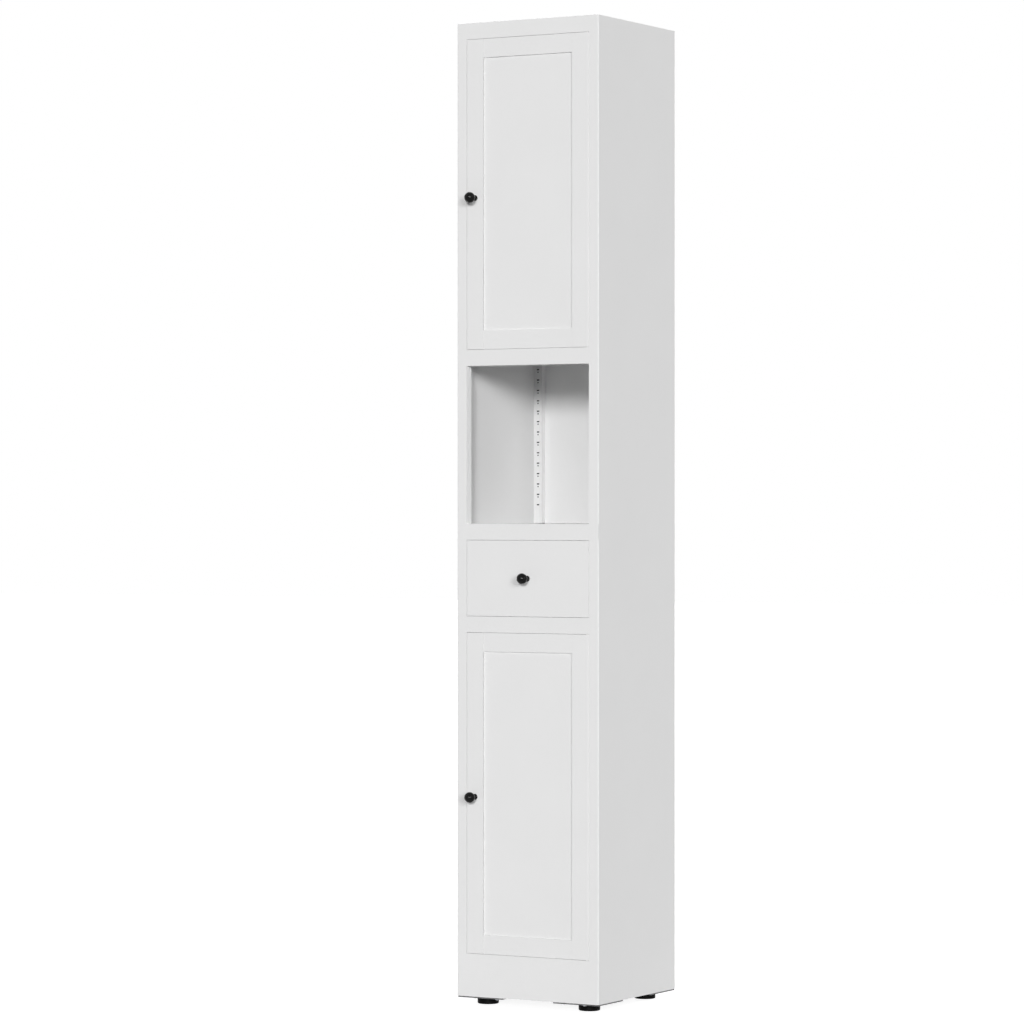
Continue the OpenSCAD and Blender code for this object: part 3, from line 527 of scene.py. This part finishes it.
# Small fittings: zinc-plated screws, pins, bolts, nuts, clips, strike plates, rails and runners,
# nylon glides, bushes and catch housings, ferrite magnets and rubber stops, all fitted by hand.
# The corner plates under the plinth are phosphated dark grey, and screwed up into the base pan.
NYLON_CREAM = (0.78, 0.77, 0.72)
NYLON_HAZE = 0.1
NYLON_DEPTH = 0.002
FERRITE_GREY = (0.07, 0.07, 0.075)
FERRITE_DARK, FERRITE_LIGHT = (0.05, 0.05, 0.052), (0.11, 0.11, 0.112)
PLATE_GREY = (0.11, 0.11, 0.113)
PLATE_DARK, PLATE_LIGHT = (0.09, 0.09, 0.092), (0.13, 0.13, 0.134)
RUBBER_BLACK = (0.025, 0.025, 0.025)

nylon = finish("nylon", NYLON_CREAM, roughness=0.45)
shader_of(nylon).inputs["Subsurface Weight"].default_value = NYLON_HAZE
shader_of(nylon).inputs["Subsurface Radius"].default_value = (NYLON_DEPTH, NYLON_DEPTH, NYLON_DEPTH)
raise_grain(nylon, pitch=0.0009, depth=0.00002, strength=0.4)
ferrite = finish("ferrite", FERRITE_GREY, roughness=0.6)
vary_colour(ferrite, FERRITE_DARK, FERRITE_LIGHT, pitch=0.0006, detail=4)
raise_grain(ferrite, pitch=0.0004, depth=0.00005, strength=0.6)
phosphated_steel = finish("phosphated_steel", PLATE_GREY, roughness=0.55)
vary_colour(phosphated_steel, PLATE_DARK, PLATE_LIGHT, pitch=0.006, detail=4)
raise_grain(phosphated_steel, pitch=0.0004, depth=0.00002, strength=0.5)
rubber = finish("rubber", RUBBER_BLACK, roughness=0.8)
raise_grain(rubber, pitch=0.0006, depth=0.00004, strength=0.5)

dress_slot(zinc_plate, "zinc_plate")
dress_slot(nylon, "nylon")
dress_slot(ferrite, "ferrite")
dress_slot(phosphated_steel, "phosphated_steel")
dress_slot(rubber, "black_rubber")

# Studio: a white floor that keeps the cabinet's shadow, an even white room, and four soft lights.
# The camera stands level, off to the right, with a long lens, as the photograph was taken.
# It is aimed a little to the left of the cabinet's right front corner.
WHITE = (1, 1, 1, 1)
FLOOR_SIZE = 60
FLOOR_GREY = (0.4, 0.4, 0.4)
FLOOR_ROUGHNESS = 0.9
FLOOR_GLOW = 0.9
ROOM_LIGHT = 0.075
CAMERA_TURN = math.radians(30.05)
CAMERA_HEIGHT = 0.918
CAMERA_DISTANCE = 7.459
CAMERA_OFFSET = 0.158
LENS = 143.4
SENSOR = 36


def white_to_the_eye(owner, output, lit, glow):
    """Shows a plain white to the camera, mirrors and glass, and the lit shader to all other rays."""
    rays = add_node(owner, "ShaderNodeLightPath", {})
    seen = rays.outputs["Is Camera Ray"]
    for kind in ("Is Glossy Ray", "Is Transmission Ray"):
        seen = work_out(owner, "MAXIMUM", seen, rays.outputs[kind])
    mix = add_node(owner, "ShaderNodeMixShader", {0: seen, 1: lit, 2: glow})
    owner.node_tree.links.new(mix.outputs["Shader"], owner.node_tree.nodes[output].inputs["Surface"])


bpy.ops.object.select_all(action="DESELECT")
bpy.ops.mesh.primitive_plane_add(size=FLOOR_SIZE)
floor = bpy.context.object
floor.name = "floor"
floor_paint = finish("floor_paint", FLOOR_GREY, FLOOR_ROUGHNESS, shine=0)
paint = shader_of(floor_paint).outputs["BSDF"]
glow = add_node(floor_paint, "ShaderNodeEmission", {"Strength": FLOOR_GLOW})
bright = add_node(floor_paint, "ShaderNodeAddShader", {0: paint, 1: glow.outputs["Emission"]})
white_to_the_eye(floor_paint, "Material Output", paint, bright.outputs["Shader"])
floor.data.materials.append(floor_paint)

room = bpy.data.worlds.new("room")
room.use_nodes = True
dim = room.node_tree.nodes["Background"]
dim.inputs["Color"].default_value = WHITE
dim.inputs["Strength"].default_value = ROOM_LIGHT
white = add_node(room, "ShaderNodeBackground", {"Color": WHITE})
white_to_the_eye(room, "World Output", dim.outputs["Background"], white.outputs["Background"])
bpy.context.scene.world = room


def lamp(name, strength, around, above, width):
    """A far, soft light, placed by its angles round and above the front, with its width in degrees."""
    turn, lift = math.radians(around), math.radians(above)
    toward = Vector((math.sin(turn) * math.cos(lift), -math.cos(turn) * math.cos(lift), math.sin(lift)))
    light = bpy.data.lights.new(name, "SUN")
    light.energy = strength
    light.angle = math.radians(width)
    holder = bpy.data.objects.new(name, light)
    holder.rotation_euler = toward.to_track_quat("Z", "Y").to_euler()
    bpy.context.scene.collection.objects.link(holder)


lamp("key_light", strength=1.83, around=21, above=11.6, width=10)
lamp("fill_light", strength=1.15, around=46, above=10, width=16)
lamp("side_light", strength=0.66, around=100, above=20, width=40)
lamp("back_light", strength=1.45, around=205, above=30, width=40)

side_low, side_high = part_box("upper_side_right")
right = Vector((math.cos(CAMERA_TURN), math.sin(CAMERA_TURN), 0))
ahead = Vector((-math.sin(CAMERA_TURN), math.cos(CAMERA_TURN), 0))
front_corner = Vector((side_high.x, side_low.y, CAMERA_HEIGHT))
lens = bpy.data.cameras.new("camera")
lens.lens = LENS
lens.sensor_width = SENSOR
camera = bpy.data.objects.new("camera", lens)
camera.location = front_corner - right * CAMERA_OFFSET - ahead * CAMERA_DISTANCE
camera.rotation_euler = (math.pi / 2, 0, CAMERA_TURN)
bpy.context.scene.collection.objects.link(camera)
bpy.context.scene.camera = camera
bpy.context.scene.view_settings.view_transform = "Standard"
